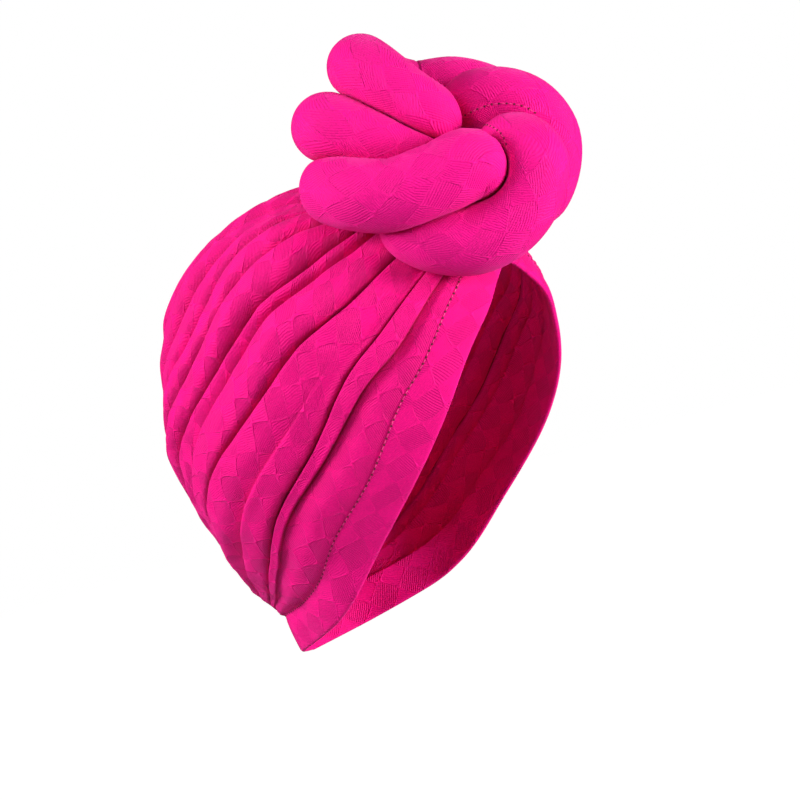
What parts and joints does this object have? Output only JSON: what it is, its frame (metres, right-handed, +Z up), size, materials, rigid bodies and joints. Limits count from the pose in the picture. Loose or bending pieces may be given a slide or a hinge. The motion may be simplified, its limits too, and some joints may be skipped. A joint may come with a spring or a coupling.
{
  "type": "turban cap",
  "caption": "Soft gathered turban cap of textured stretch knit, with a hem band round the face and a large knot of stuffed rolls at the upper front.",
  "frame": {"origin": "middle of the head that fills the hollow: the cap is held up by that head, with the face opening towards -Y and down", "axes": "+Z up, the wearer faces -Y, +X is the wearer's left; the knot sits over the forehead at -Y +Z, turned towards the wearer's right (-X)"},
  "size_m": [0.1743, 0.2591, 0.28],
  "materials": {
    "crown": "matte stretch knit with a woven-in scale pattern",
    "band": "matte stretch knit with a woven-in scale pattern",
    "knot_roll_lower": "matte stretch knit over soft filling",
    "knot_roll_middle": "matte stretch knit over soft filling",
    "knot_roll_upper": "matte stretch knit over soft filling",
    "knot_loop_front": "matte stretch knit over soft filling",
    "knot_loop_top": "matte stretch knit over soft filling"
  },
  "bodies": {
    "root": {"crown": "crown", "band": "band", "knot_roll_lower": "knot_roll_lower", "knot_roll_middle": "knot_roll_middle", "knot_roll_upper": "knot_roll_upper", "knot_loop_front": "knot_loop_front", "knot_loop_top": "knot_loop_top"}
  },
  "joints": []
}
